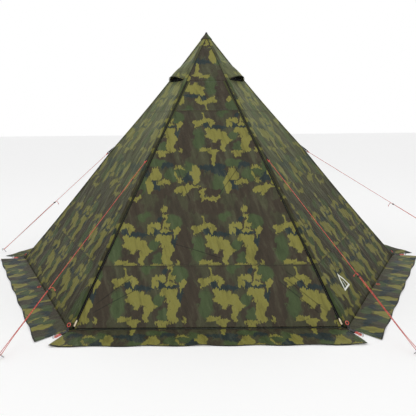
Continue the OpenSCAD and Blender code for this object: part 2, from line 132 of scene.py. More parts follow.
world = bpy.data.worlds.new("studio")
bpy.context.scene.world = world
world.use_nodes = True
sky = world.node_tree.nodes["Background"]
sky.inputs["Color"].default_value = (1, 1, 1, 1)
seen = world.node_tree.nodes.new("ShaderNodeLightPath")
level = world.node_tree.nodes.new("ShaderNodeMapRange")
level.inputs[3].default_value, level.inputs[4].default_value = SKY_LIGHT, SKY_SEEN
world.node_tree.links.new(seen.outputs["Is Camera Ray"], level.inputs[0])
world.node_tree.links.new(level.outputs[0], sky.inputs["Strength"])
bpy.context.scene.view_settings.view_transform = "Standard"


def softbox(name, place, size, power):
    """A square area lamp that faces the middle of the tent."""
    lamp = bpy.data.lights.new(name, "AREA")
    lamp.size = size
    lamp.energy = power
    obj = add_object(name, lamp)
    aim = Vector((0, 0, peak_height * 0.4)) - Vector(place)
    obj.matrix_world = Matrix.Translation(place) @ aim.to_track_quat("-Z", "Y").to_matrix().to_4x4()


softbox("key_softbox", (-1.9, -7.0, 5.2), 3.0, 50)
softbox("fill_softbox", (2.6, -6.6, 4.2), 3.5, 22)
softbox("top_softbox", (0.0, 1.5, 6.0), 4.0, 22)
print("floor and 3 soft lamps")

# %% [markdown]
# The camera stands in front of the door at a person's chest height, a little over four metres from
# the pole, and looks slightly down. Its axes are written out as three vectors, so no rotation order
# has to be remembered.
# %% Camera
SENSOR_MM, LENS_MM = 36, 39.42
CAMERA_DISTANCE = 2.374 * base_radius
CAMERA_HEIGHT = 0.749 * base_radius
azimuth, pitch, roll = (math.radians(a) for a in (0.32, 11.43, -0.56))
ahead = np.array([-math.sin(azimuth), math.cos(azimuth), 0.0])
right = np.array([math.cos(azimuth), math.sin(azimuth), 0.0])
forward = ahead * math.cos(pitch) - up_z * math.sin(pitch)
upward = up_z * math.cos(pitch) + ahead * math.sin(pitch)
right, upward = (right * math.cos(roll) + upward * math.sin(roll),
                 upward * math.cos(roll) - right * math.sin(roll))


def placed(across, up, back, origin):
    """The matrix that turns x, y and z to these three directions, at an origin."""
    return Matrix([[across[k], up[k], back[k], origin[k]] for k in range(3)] + [[0, 0, 0, 1]])


camera_data = bpy.data.cameras.new("studio_camera")
camera_data.sensor_width, camera_data.lens = SENSOR_MM, LENS_MM
camera = add_object("studio_camera", camera_data)
stand = -ahead * CAMERA_DISTANCE + up_z * CAMERA_HEIGHT
camera.matrix_world = placed(right, upward, -forward, stand)
bpy.context.scene.camera = camera
print("camera at", [round(float(v), 3) for v in stand])

# %% [markdown]
# ## Shader maths as plain expressions
# A node tree is easier to read as arithmetic. `Value` wraps one socket, and a loop gives it +, -, *
# and /, also for when the number comes first. `Finish` is one material, and its `node` method makes
# every other kind of node.
# %% The two small classes


class Value:
    """One output socket that can stand in a sum."""

    def __init__(self, finish, socket):
        self.finish = finish
        self.socket = socket

    def math(self, operation, first, second):
        return self.finish.node("Math", {"operation": operation}, {0: first, 1: second})

    def __abs__(self):
        return self.alone("ABSOLUTE")

    def alone(self, operation):
        """A function of this value by itself, such as its sine."""
        return self.finish.node("Math", {"operation": operation}, {0: self})


for sign, operation in {"add": "ADD", "sub": "SUBTRACT", "mul": "MULTIPLY", "truediv": "DIVIDE"}.items():
    setattr(Value, f"__{sign}__", lambda a, b, does=operation: a.math(does, a, b))
    setattr(Value, f"__r{sign}__", lambda a, b, does=operation: a.math(does, b, a))


class Finish:
    """One material and the nodes in it."""

    def __init__(self, name):
        self.material = bpy.data.materials.new(name)
        self.material.use_nodes = True
        self.tree = self.material.node_tree
        self.shader = self.tree.nodes["Principled BSDF"]

    def node(self, kind, settings, inputs, out=0):
        made = self.tree.nodes.new("ShaderNode" + kind)
        for key, value in settings.items():
            setattr(made, key, value)
        for key, value in inputs.items():
            self.feed(made.inputs[key], value)
        return Value(self, made.outputs[out])

    def feed(self, socket, value):
        if isinstance(value, Value):
            self.tree.links.new(value.socket, socket)
        else:
            socket.default_value = value

    def step(self, value, edge, soft):
        """0 below the edge and 1 above it, over a soft width."""
        return self.node("MapRange", {"interpolation_type": "SMOOTHSTEP"},
                         {0: value, 1: edge - soft, 2: edge + soft, 3: 0.0, 4: 1.0})

    def mix(self, factor, a, b):
        return self.node("Mix", {"data_type": "RGBA"}, {0: factor, 6: a, 7: b}, 2)

    def noise(self, vector, scale, detail=2.0, rough=0.5):
        inputs = {"Vector": vector, "Scale": scale, "Detail": detail, "Roughness": rough}
        return self.node("TexNoise", {}, inputs)

    def grain(self, scale, detail=2.0):
        """Noise that stays with the object."""
        return self.noise(self.place(), scale, detail)

    def vector(self, operation, *inputs, out=0):
        return self.node("VectorMath", {"operation": operation}, dict(enumerate(inputs)), out)

    def place(self):
        """Metres from the foot of the pole."""
        return self.node("TexCoord", {}, {}, "Object")

    def mapped(self, layer="cloth"):
        """The piece's own UV map, which holds metres on the cloth."""
        return self.node("UVMap", {"uv_map": layer}, {})

    def split(self, vector):
        return [self.node("SeparateXYZ", {}, {0: vector}, axis) for axis in range(3)]

    def join(self, x, y, z=0.0):
        return self.node("CombineXYZ", {}, {0: x, 1: y, 2: z})

    def close(self, colour, rough, height=None, depth=0.0003, metal=0.0, sheen=0.0, gloss=0.5):
        """Feeds the surface. What is the same all over is set on the shader's own socket."""
        self.feed(self.shader.inputs["Base Color"], colour)
        self.feed(self.shader.inputs["Roughness"], rough)
        self.shader.inputs["Metallic"].default_value = metal
        self.shader.inputs["Sheen Weight"].default_value = sheen
        self.shader.inputs["Specular IOR Level"].default_value = gloss
        if height is not None:
            bump = self.node("Bump", {}, {"Height": height, "Distance": depth, "Strength": 1.0})
            self.feed(self.shader.inputs["Normal"], bump)
        return self.material


def shaded(colour, factor, more=0.0):
    """The same colour lighter or darker."""
    return tuple(min(1.0, c * factor + more) for c in colour[:3]) + (1.0,)


def paint(red, green, blue):
    """A colour given as it looks on a screen, 0 to 255, in the shader's linear values."""
    return tuple(((v / 255 + 0.055) / 1.055) ** 2.4 for v in (red, green, blue)) + (1.0,)


print("shader helpers ready")

# %% [markdown]
# ## Guy lines
# Each line is 4 mm braided cord, pulled tight. It leaves the eyelet of its tab, runs down to the peg,
# bends round the peg's hook, and comes back up through the tensioner to a short hanging tail. The
# points are the same listed ones that the solid model uses: distance from the peg, sideways, up.
# A tube swept by code keeps its length exactly, which a drawn curve would not.
# %% Route of a guy line
CORD = 0.004
TAB_SHARE, TAB_REACH = 0.504, 0.0523
TAB_OFF_RIDGE = math.radians(13)
TAB_SLOPE = math.pi / 2 - math.atan2(base_radius, peak_height) - TAB_OFF_RIDGE
PEG_HOLD_Z = 0.028
BEFORE_BEND = 0.2
GUY_LINES = {  # corner, beyond the corner, sideways, length of the doubled part
    "front_left": (4, 0.440, -0.085, 0.450),
    "front_right": (5, 0.440, 0.085, 0.540),
    "left": (3, 0.300, -0.230, 0.800),
    "right": (0, 0.785, 0.240, 0.900),
}
BEND = [(0.040, 0, 0), (0.020, 0, 0), (0, 0, 0), (-0.004, 0.0011, 0), (-0.0069, 0.004, 0), (-0.008, 0.008, 0),
        (-0.0069, 0.012, 0), (-0.004, 0.0149, 0), (0, 0.016, 0), (0.030, 0.0145, 0), (0.060, 0.011, 0),
        (0.095, 0.008, 0), (0.130, 0.007, 0)]
TAIL = [(0.016, 0.007, 0), (0.025, 0.008, -0.003), (0.030, 0.009, -0.011), (0.031, 0.010, -0.022),
        (0.029, 0.011, -0.036)]


def unit(v):
    return v / np.linalg.norm(v)


def tab_point(corner):
    reach = base_radius * (1 - TAB_SHARE) + TAB_REACH * math.cos(TAB_SLOPE)
    return radial(corner) * reach + up_z * (peak_height * TAB_SHARE - TAB_REACH * math.sin(TAB_SLOPE))


def line_frame(name):
    """The peg's point, and the directions down the line, across it and off it."""
    corner, beyond, sideways, _ = GUY_LINES[name]
    across = np.cross(up_z, radial(corner))
    peg = radial(corner) * (base_radius + beyond) + across * sideways + up_z * PEG_HOLD_Z
    down = unit(peg - tab_point(corner))
    side = unit(np.cross(up_z, down))
    return peg, down, side, np.cross(down, side)


def guy_route(name):
    corner, _, _, doubled = GUY_LINES[name]
    peg, down, side, off = line_frame(name)
    length = np.linalg.norm(peg - tab_point(corner))
    steps = [(length, 0, 0), (doubled + BEFORE_BEND, 0, 0), (BEFORE_BEND, 0, 0)] + BEND
    steps += [(BEFORE_BEND, 0.007, 0)] + [(doubled + a, b, c) for a, b, c in TAIL]
    return np.array([peg - down * a + side * b + off * c for a, b, c in steps])


for line in GUY_LINES:
    print(line, "has", len(guy_route(line)), "chosen points")


# %% [markdown]
# A cord as a mesh is a ring of points carried along the route. Each ring is turned as little as
# possible from the one before, so the braid on it doesn't twist.
# %% Sweeping a tube along a route
def tube(name, path, radius, sides=10):
    """A round tube along a path, with a UV map: turns round it, and metres along it."""
    path = np.asarray(path, float)
    tangents = np.gradient(path, axis=0)
    tangents /= np.linalg.norm(tangents, axis=1)[:, None]
    normal = unit(np.cross(tangents[0], up_z + [0.013, 0.007, 0]))
    run = np.concatenate([[0], np.cumsum(np.linalg.norm(np.diff(path, axis=0), axis=1))])
    angles = np.linspace(0, 2 * math.pi, sides, endpoint=False)
    rings = []
    for point, tangent in zip(path, tangents):
        normal = unit(normal - tangent * normal.dot(tangent))
        other = np.cross(tangent, normal)
        rings += [point + radius * (math.cos(a) * normal + math.sin(a) * other) for a in angles]
    last = len(path) - 1
    faces = []
    for low in range(0, last * sides, sides):
        for k in range(sides):
            after = (k + 1) % sides
            faces.append((low + k, low + after, low + sides + after, low + sides + k))
    faces += [tuple(reversed(range(sides))), tuple(last * sides + k for k in range(sides))]
    mesh = bpy.data.meshes.new(name)
    mesh.from_pydata([tuple(p) for p in rings], [], faces)
    layer = mesh.uv_layers.new(name="cord")
    for face in mesh.polygons:
        face.use_smooth = len(face.vertices) == 4
        row, column = divmod(face.index, sides)
        for corner, loop in enumerate(face.loop_indices):
            turn = (column + (corner in (1, 2))) / sides
            along = run[min(row + (corner in (2, 3)), last)]
            layer.data[loop].uv = (turn, along)
    return add_object(name, mesh)


def belongs(piece, body, node=None, slot=None):
    """Says which body a piece rides on, which solid it stands for, and whose finish it takes."""
    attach(piece, body)
    if node:
        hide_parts(node)
    if slot:
        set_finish(piece, slot)


def smooth_path(points, step=0.02):
    """Points close together on a centripetal curve that passes through the chosen ones."""
    points = np.asarray(points, float)
    ends = np.vstack([2 * points[0] - points[1], points, 2 * points[-1] - points[-2]])
    out = [points[0]]
    for i in range(1, len(ends) - 2):
        a, b, c, d = ends[i - 1:i + 3]
        k = [np.linalg.norm(q - p) ** 0.5 for p, q in ((a, b), (b, c), (c, d))]
        start = (c - b) + k[1] * ((b - a) / k[0] - (c - a) / (k[0] + k[1]))
        end = (c - b) + k[1] * ((d - c) / k[2] - (d - b) / (k[1] + k[2]))
        count = max(2, int(np.linalg.norm(c - b) / step))
        for s in np.linspace(0, 1, count + 1)[1:]:
            out.append(b * (2 * s**3 - 3 * s**2 + 1) + start * (s**3 - 2 * s**2 + s)
                       + c * (3 * s**2 - 2 * s**3) + end * (s**3 - s**2))
    return np.array(out)


cords = {}
for line in GUY_LINES:
    path = smooth_path(guy_route(line))
    cord = tube("guy_cord_" + line, path, CORD / 2)
    belongs(cord, "root", "guy_line_" + line, "red_cord")
    tab_point(GUY_LINES[line][0])
    cords[line] = cord

# %% [markdown]
# ## How the cloth hangs
# Cloth under tension is never flat. Between the peak, the guy tab and the ground each loose ridge
# curves inwards a little, the panel between two ridges sags towards the room, and fine folds fan out
# of the points that carry load. The two front ridges hold the zips, which keep them straight. One
# function places every piece of cloth, so seams, hoods and walls always meet.
# %% One surface for every wall
FOOT_Y = 0.0058
DOOR_TOP_Y = 0.79 * slant
PEAK_CUT = 0.028
TOP_Y = slant - PEAK_CUT / math.sin(slope)
SAG_TAUT, SAG_LOOSE = 0.005, 0.011
CREASE_HALF = 0.014
SEAMS = (0.168 * slant, 0.673 * slant)
DOOR_CREASES = [tuple(v / 1000 for v in crease) for crease in (
    # from x, y, to x, y, and how far it stands out, in millimetres
    (500, 360, 800, 100, 6.5), (460, 340, 770, 70, -5), (520, 400, 720, 250, 4), (-800, 90, -420, 300, 4.5),
    (-760, 160, -500, 370, -3.5), (-300, 620, 150, 470, 3), (280, 1300, 50, 950, -3),
    (-250, 1280, -120, 900, 3))]
LOOSE_RIDGES = dict.fromkeys(range(4), (0.010, 0.020))  # bow below the tab, and above it


def ridge_bow(corner, t):
    """How far a ridge curves inwards, at a share t of its height."""
    low, high = LOOSE_RIDGES.get(corner % 6, (0.0, 0.0))
    below = low * np.sin(np.pi * np.clip(t / TAB_SHARE, 0, 1))
    above = high * np.sin(np.pi * np.clip((t - TAB_SHARE) / (1 - TAB_SHARE), 0, 1))
    return below + above


def fan(x, y, centre_x, centre_y, folds, phase, reach):
    """Folds that spread from a loaded point and die away."""
    away = np.hypot(x - centre_x, y - centre_y)
    angle = np.arctan2(y - centre_y, x - centre_x)
    crease = np.sin(folds * angle + phase) + 0.5 * np.sin(2.3 * folds * angle + 2 * phase)
    return crease * np.exp(-away / reach) * away / (away + 0.10)


def folds(wall, x, y, share):
    """All the folds of a wall: fans from its corners and tabs, fine waves, and the door's creases."""
    phase = 1.7 * wall
    tab_y = TAB_SHARE * slant
    out = 0
    for side in (-1, 1):
        out = out + 0.0060 * fan(x, y, side * half_width(0), 0, 15, phase + side, 0.50)
        out = out + 0.0034 * fan(x, y, side * half_width(tab_y), tab_y, 11, phase - side, 0.30)
    out = out + 0.0016 * np.sin(11 * x + 8 * y + phase) + 0.0010 * np.sin(17 * x - 9 * y + 2 * phase)
    if wall == FRONT:
        for x0, y0, x1, y1, deep in DOOR_CREASES:
            run = np.clip(((x - x0) * (x1 - x0) + (y - y0) * (y1 - y0)) / ((x1 - x0)**2 + (y1 - y0)**2), 0, 1)
            away = np.hypot(x - x0 - run * (x1 - x0), y - y0 - run * (y1 - y0))
            out = out + deep * np.exp(-(away / CREASE_HALF) ** 2) * np.sin(np.pi * (0.15 + 0.7 * run))
    calm_edge = (1 - np.abs(share) ** 8) * np.clip((y - FOOT_Y) / 0.05, 0, 1)
    return out * (calm_edge * np.clip((slant - y) / 0.3, 0, 1))


def on_wall(wall, x, y, off=0.0):
    """Points of a wall: x along it, y up its slope, and a distance off the cloth."""
    x, y, off = np.broadcast_arrays(*(np.asarray(v, float) for v in (x, y, off)))
    out, along = wall_axes(wall)
    rise = -out * math.cos(slope) + up_z * math.sin(slope)
    normal = out * math.sin(slope) + up_z * math.cos(slope)
    share = np.clip(x / np.maximum(half_width(y), 1e-6), -1, 1)
    t = y / slant
    sag = (SAG_TAUT if wall == FRONT else SAG_LOOSE) * np.sin(np.pi * np.clip(t, 0, 1)) * (1 - share**2)
    depth = off - sag + folds(wall, x, y, share)
    points = out * apothem + along * x[..., None] + rise * y[..., None] + normal * depth[..., None]
    for corner, weight in ((wall, (1 - share) / 2), (wall + 1, (1 + share) / 2)):
        points = points - radial(corner) * (ridge_bow(corner, t) * weight)[..., None]
    return points


print("seams at", [round(y, 3) for y in SEAMS], "m up the slope")

# %% [markdown]
# A sheet starts as a grid of points. Solidify then gives it the thickness of coated cloth, towards
# the inside, and the UV map holds metres on the cloth, so the print keeps its size and stands
# upright on every wall.
# %% From a grid to a piece of cloth
CLOTH = 0.0012
ROLL_STEP = 0.23


def on_roll(wall, x, y):
    """The UV map of a wall: each is cut further along the roll than its neighbour."""
    return np.stack([x + ROLL_STEP * (wall - FRONT), y], -1)


def cloth_piece(name, grid, flat, thickness, kept=None):
    """A smooth sheet from rows of points. kept says which of its squares stay."""
    rows, columns = grid.shape[:2]
    mesh = bpy.data.meshes.new(name)
    faces = [(r * columns + c, r * columns + c + 1, (r + 1) * columns + c + 1, (r + 1) * columns + c)
             for r in range(rows - 1) for c in range(columns - 1) if kept is None or kept[r, c]]
    mesh.from_pydata([tuple(p) for p in grid.reshape(-1, 3)], [], faces)
    loops = np.zeros(len(mesh.loops), int)
    mesh.loops.foreach_get("vertex_index", loops)
    layer = mesh.uv_layers.new(name="cloth")
    layer.data.foreach_set("uv", flat.reshape(-1, 2)[loops].astype(np.float32).ravel())
    mesh.polygons.foreach_set("use_smooth", [True] * len(mesh.polygons))
    obj = add_object(name, mesh)
    body = obj.modifiers.new("thickness", "SOLIDIFY")
    body.thickness, body.offset = thickness, -1
    return obj


def rows_between(low, high, count, extra=()):
    """Even rows, with closer ones where a seam or an edge needs them."""
    lines = list(np.linspace(low, high, count)) + [v for v in extra if low < v < high]
    return np.array(sorted(set(round(float(v), 5) for v in lines)))


SEAM_HALF, SEAM_SLOPE, SEAM_STEP = 0.007, 0.0015, 0.0013
SEAM_EDGES = (-SEAM_HALF - SEAM_SLOPE, -SEAM_HALF, SEAM_HALF, SEAM_HALF + SEAM_SLOPE)
seam_rows = [seam + edge for seam in SEAMS for edge in SEAM_EDGES]


def seam_height(y):
    """The doubled cloth of a flat-felled seam stands a little proud."""
    return sum(SEAM_STEP * (np.abs(y - s) <= SEAM_HALF + 1e-5) for s in SEAMS)


print(f"cloth {CLOTH * 1000:.1f} mm thick, seams {SEAM_HALF * 2000:.0f} mm wide")

# %% [markdown]
# ## Walls
# The five whole walls and the small panel over the door are cut from three widths of cloth, joined by
# two level seams. The columns of each grid keep a fixed distance from the ridges, so the vent's
# window has clean edges without any cutting.
# %% Sew the walls
EDGE_COLUMNS = (0.0, 0.006, 0.013, 0.020, 0.028, 0.038)
HOOD_RIM_Y = 0.8 * slant
WINDOW = (HOOD_RIM_Y - 0.010, HOOD_RIM_Y + 0.090)


def wall_columns(y, edge=0.0, inner=84):
    """x of each column at a height, from one ridge to the other."""
    reach = inset_width(y, edge)
    squeeze = min(1.0, 0.45 * reach / EDGE_COLUMNS[-1])
    near = [reach - d * squeeze / math.cos(wall_half_angle) for d in EDGE_COLUMNS]
    middle = np.linspace(-near[-1], near[-1], inner)[1:-1]
    return np.concatenate([[-v for v in near], middle, near[::-1]])


def wall_cloth(name, wall, low, high, count, window=False):
    ys = rows_between(low, high, count, seam_rows + list(WINDOW))
    xs = np.array([wall_columns(y) for y in ys])
    grid_y = np.repeat(ys[:, None], xs.shape[1], axis=1)
    kept = np.ones((len(ys) - 1, xs.shape[1] - 1), bool)
    if window:
        inside = (ys[:-1] > WINDOW[0] - 1e-4) & (ys[1:] < WINDOW[1] + 1e-4)
        kept[inside, len(EDGE_COLUMNS) - 1:xs.shape[1] - len(EDGE_COLUMNS)] = False
    grid = on_wall(wall, xs, grid_y, seam_height(grid_y))
    return cloth_piece(name, grid, on_roll(wall, xs, grid_y), CLOTH, kept)


cloth = {}
WALLS = {"rear_right": 0, "rear": 1, "rear_left": 2, "front_left": 3, "front_right": 5}
for side, wall in WALLS.items():
    piece = wall_cloth("wall_cloth_" + side, wall, FOOT_Y, TOP_Y, 150, window=side.startswith("front"))
    belongs(piece, "root", "wall_" + side)
    2 * half_width(0)
    half_width(0) * slant
    cloth[side] = piece
top_panel = wall_cloth("front_top_cloth", FRONT, DOOR_TOP_Y + 0.0003, TOP_Y, 34)
belongs(top_panel, "root", "front_top_panel")
top_width, top_length = 2 * half_width(DOOR_TOP_Y), slant - DOOR_TOP_Y
top_width * top_length / 2
cloth["front_top"] = top_panel
print("sewed", len(cloth), "walls and panels")

# %% [markdown]
# ## Door
# The door is the whole front wall between the two zips. Its top corners are eased back from the
# zips, so that an open slider's pull clears them when the door swings. A folded hem closes its foot.
# %% Hang the door
DOOR_INSET, DOOR_RELIEF, RELIEF_LENGTH, HEM = 0.0343, 0.014, 0.600, 0.045
DOOR_FOOT_Y, HEM_LIFT = FOOT_Y + 0.010, 0.0016


def door_edge(y):
    ease = np.clip((y - (DOOR_TOP_Y - RELIEF_LENGTH)) / RELIEF_LENGTH, 0, 1)
    return DOOR_INSET + DOOR_RELIEF * ease


def front_sheet(name, low, high, count, lift, thickness):
    ys = rows_between(low, high, count, seam_rows)
    xs = np.array([np.linspace(-1, 1, 96) * inset_width(y, door_edge(y)) for y in ys])
    grid_y = np.repeat(ys[:, None], xs.shape[1], axis=1)
    grid = on_wall(FRONT, xs, grid_y, lift + seam_height(grid_y))
    return cloth_piece(name, grid, np.stack([xs, grid_y], -1), thickness)


door = front_sheet("door_cloth", DOOR_FOOT_Y, DOOR_TOP_Y, 130, 0.0, CLOTH)
belongs(door, "door", "door_panel")
hem = front_sheet("door_hem_cloth", DOOR_FOOT_Y, DOOR_FOOT_Y + HEM, 8, HEM_LIFT, CLOTH)
belongs(hem, "door", "door_hem")
foot_w, head_w = (2 * inset_width(y, door_edge(y)) for y in (DOOR_FOOT_Y, DOOR_TOP_Y))
door_length = DOOR_TOP_Y - DOOR_FOOT_Y
(foot_w + head_w) / 2 * door_length
cloth.update(door=door, hem=hem)
print(f"door {foot_w:.2f} m wide at its foot and {door_length:.2f} m long")

# %% [markdown]
# ## Ground flaps
# A flap is sewn along the foot of each wall and lies on the ground to keep the wind out. Nothing
# stretches it, so it ripples, and each end flares to a point past its corner.
# %% Lay the flaps
FLAP_WIDTH, FLAP_FLARE, FLAP_LAP = 0.220, 0.058, 0.009
FLAPS = {"rear_right": 0, "rear": 1, "rear_left": 2, "front_left": 3, "front": FRONT, "front_right": 5}


def flap_grid(wall):
    """Rows from the free edge to the seam, with ripples that grow outwards."""
    out, along = wall_axes(wall)
    share, reach = np.meshgrid(np.linspace(-1, 1, 150), np.linspace(1, 0, 22))
    x = share * (base_radius / 2 - 0.008 + reach * (FLAP_FLARE + 0.006))
    outward = -FLAP_LAP + (FLAP_WIDTH + FLAP_LAP) * reach
    wave = np.sin(19 * x + 2.1 * wall)
    ripple = wave + 0.7 * np.sin(33 * x + 5 * reach + wall) + 0.5 * np.sin(7 * x - wall)
    curl = 0.0040 * np.abs(share) ** 14 * reach
    z = 0.0030 + 0.0032 * np.clip(ripple, -0.4, 2) * reach**0.8 + 0.0014 * reach + curl
    outward = outward - 0.004 * (1 + wave) * reach**2
    grid = out * (apothem + outward)[..., None] + along * x[..., None] + up_z * z[..., None]
    return grid, on_roll(wall, x, -outward)


for side, wall in FLAPS.items():
    grid, flat = flap_grid(wall)
    flap = cloth_piece("flap_cloth_" + side, grid, flat, CLOTH)
    belongs(flap, "root", "skirt_" + side)
    cloth["flap_" + side] = flap
print("laid", len(FLAPS), "ground flaps")

# %% [markdown]
# ## Ridge bindings
# A folded strip of the same cloth covers the seam on each ridge and hides the walls' raw edges. It
# bends over the fold, so it is built from both neighbouring walls, a little off their surface.
# %% Bind the ridges
BINDING_TOP = (1 - 0.064 / peak_height) * slant
BINDING_FOOT, BINDING_LIFT, BINDING_WIDTH = 0.012, 0.0022, 0.040
BINDING_STEPS = (-0.020, -0.0185, -0.012, -0.006, 0.0, 0.006, 0.012, 0.0185, 0.020)
RIDGES = {"right": 0, "rear_right": 1, "rear_left": 2, "left": 3, "front_left": 4, "front_right": 5}


def binding_grid(corner):
    ys = np.linspace(BINDING_FOOT, BINDING_TOP, 170)
    columns = []
    for step in BINDING_STEPS:
        x = inset_width(ys, abs(step))
        before = on_wall((corner - 1) % 6, x, ys, BINDING_LIFT)
        after = on_wall(corner % 6, -x, ys, BINDING_LIFT)
        columns.append((before + after) / 2 if step == 0 else before if step < 0 else after)
    flat = np.stack(np.broadcast_arrays(np.array(BINDING_STEPS)[None, :], ys[:, None]), -1)
    return np.stack(columns, 1), flat


for side, corner in RIDGES.items():
    grid, flat = binding_grid(corner)
    piece = cloth_piece("ridge_binding_" + side, grid, flat, CLOTH)
    belongs(piece, "root", "ridge_tape_" + side)
    cloth["binding_" + side] = piece
print("bound", len(RIDGES), "ridges")

# %% [markdown]
# ## Vents
# A hood is a patch sewn along its top and sides, with a stiff welt in its free rim that springs it
# into an arch. Behind it the wall has a window of fine black mesh. The hood and its welt lift together.
# %% Arch the hoods
HOOD_TOP_Y, HOOD_RISE, HOOD_INSET = 0.885 * slant, 0.058, 0.022
WELT, WELT_LIFT, WELT_DROP = 0.003, 0.0032, 0.0033
NET, NET_DEPTH, NET_LAP, NET_RISE = 0.0004, 0.0022, 0.005, 0.004


def hood_point(wall, across, drop, off=0.0):
    """across runs from -1 to 1, and drop from 0 at the seam to 1 at the rim."""
    y = HOOD_TOP_Y + (HOOD_RIM_Y - HOOD_TOP_Y) * drop
    rise = 0.0006 + HOOD_RISE * np.sin(np.pi / 2 * drop) * (1 - across**2)
    return on_wall(wall, across * inset_width(y, HOOD_INSET), y, rise + off), y


for side, wall in (("left", 3), ("right", 5)):
    across, drop = np.meshgrid(np.linspace(-1, 1, 61), np.linspace(1, 0, 31))
    crease = 0.0012 * np.sin(9 * across + 4 * drop) * drop * (1 - across**4)
    grid, y = hood_point(wall, across, drop, crease)
    flat = on_roll(wall, across * inset_width(y, HOOD_INSET), y)
    hood = cloth_piece("hood_cloth_" + side, grid, flat, CLOTH)
    belongs(hood, "hood_" + side, "vent_hood_" + side)
    cloth["hood_" + side] = hood
    rim, _ = hood_point(wall, np.linspace(-0.95, 0.95, 40), np.ones(40), WELT_LIFT)
    below = on_wall(wall, 0, HOOD_RIM_Y - WELT_DROP) - on_wall(wall, 0, HOOD_RIM_Y)
    welt = tube("hood_welt_" + side, rim + below, WELT)
    belongs(welt, "hood_" + side, "hood_stiffener_" + side, "webbing")
    ys = np.linspace(WINDOW[0] - NET_RISE, WINDOW[1] + NET_RISE, 14)
    xs = np.array([np.linspace(-1, 1, 24) * (inset_width(v, EDGE_COLUMNS[-1]) + NET_LAP) for v in ys])
    grid_y = np.repeat(ys[:, None], 24, axis=1)
    grid, flat = on_wall(wall, xs, grid_y, -NET_DEPTH), np.stack([xs, grid_y], -1)
    net = cloth_piece("vent_net_" + side, grid, flat, NET)
    belongs(net, "root", "vent_mesh_" + side, "mesh")
print("two hoods, welts and nets")

# %% [markdown]
# ## Zips
# A nylon coil zip is a woven tape with a row of small loops that lock together. One tooth is shaped
# from a cube in edit mode, then an Array modifier repeats it up the straight zip. The tape reaches
# behind the door's edge, so no daylight shows beside the door's eased top corners.
# %% Make the zips
ZIP_INSET, ZIP_FOOT_Y = 0.028, 0.0206
TAPE, TAPE_DEPTH, TAPE_LAP = 0.0005, 0.0018, 0.004
TOOTH, TOOTH_PITCH, TOOTH_BEVEL, TOOTH_LIFT = (0.0056, 0.0021, 0.0014), 0.0022, 0.0004, 0.0008
wall_normal = np.array([0.0, -math.sin(slope), math.cos(slope)])


def front_point(side, y, inset, off):
    """A point on the flat front wall, an inset from its left (-1) or right (1) ridge."""
    out, _ = wall_axes(FRONT)
    rise = -out * math.cos(slope) + up_z * math.sin(slope)
    return out * apothem + np.array([1.0, 0, 0]) * side * inset_width(y, inset) + rise * y + wall_normal * off


def tooth_row(name, side):
    """One tooth, repeated up a zip."""
    start, end = (front_point(side, y, ZIP_INSET, 0.0) for y in (ZIP_FOOT_Y, DOOR_TOP_Y))
    ridge = unit(end - start)
    across = np.cross(wall_normal, ridge)
    deselect_all()
    bpy.ops.mesh.primitive_cube_add(size=1)
    row = bpy.context.object
    row.name = name
    bpy.ops.object.mode_set(mode="EDIT")
    bpy.ops.mesh.select_all(action="SELECT")
    bpy.ops.transform.resize(value=TOOTH)
    bpy.ops.mesh.bevel(offset=TOOTH_BEVEL, segments=1, affect="EDGES")
    bpy.ops.object.mode_set(mode="OBJECT")
    repeat = row.modifiers.new("teeth", "ARRAY")
    repeat.use_relative_offset, repeat.use_constant_offset = False, True
    repeat.constant_offset_displace = (0, 0, TOOTH_PITCH)
    count = repeat.count = int(np.linalg.norm(end - start) / TOOTH_PITCH)
    bpy.ops.object.modifier_apply(modifier="teeth")
    row.data.transform(placed(across, wall_normal, ridge, start + wall_normal * TOOTH_LIFT))
    return row, count


zips = []
for side, sign in (("left", -1), ("right", 1)):
    ys = np.linspace(ZIP_FOOT_Y, DOOR_TOP_Y, 90)
    insets = np.array([np.linspace(TAPE_LAP, door_edge(y) + TAPE_LAP, 9) for y in ys])
    order = insets if sign < 0 else insets[:, ::-1]
    grid = np.array([[front_point(sign, y, d, -TAPE_DEPTH) for d in row] for y, row in zip(ys, order)])
    flat = np.stack([order, np.repeat(ys[:, None], 9, axis=1)], -1)
    tape = cloth_piece("zip_tape_" + side, grid, flat, TAPE)
    belongs(tape, "root", "zip_" + side, "zip_tape")
    teeth, count = tooth_row("zip_teeth_" + side, sign)
    belongs(teeth, "root", slot="zip_tape")
    zips += [tape, teeth]
    print("zip", side, "has", count, "teeth")

# %% [markdown]
# ## Knots on the guy lines
# A line is tied through the eyelet of its tab with a loop and a few round turns, and its free tail
# is stopped with a knot. Each turn starts as a torus that is tilted in edit mode, as a cord lies.
# %% Tie the knots


def turns(name, centre, axis, count, major, minor, pitch, tilt):
    """Turns of cord round an axis, joined into one piece."""
    made = []
    for k in range(count):
        deselect_all()
        bpy.ops.mesh.primitive_torus_add(
            major_radius=major, minor_radius=minor, major_segments=20, minor_segments=8)
        ring = bpy.context.object
        bpy.ops.object.mode_set(mode="EDIT")
        bpy.ops.mesh.select_all(action="SELECT")
        bpy.ops.transform.rotate(value=tilt * (-1) ** k, orient_axis="X", center_override=(0, 0, 0))
        bpy.ops.object.mode_set(mode="OBJECT")
        turn = Vector(axis).to_track_quat("Z", "Y").to_matrix().to_4x4()
        ring.data.transform(Matrix.Translation(Vector(centre) + Vector(axis) * pitch * k) @ turn)
        made.append(ring)
    deselect_all()
    for ring in made:
        ring.select_set(True)
    bpy.context.view_layer.objects.active = made[0]
    bpy.ops.object.join()
    knot = bpy.context.object
    knot.name = name
    bpy.ops.object.shade_smooth()
    belongs(knot, "root", slot="red_cord")
    return knot


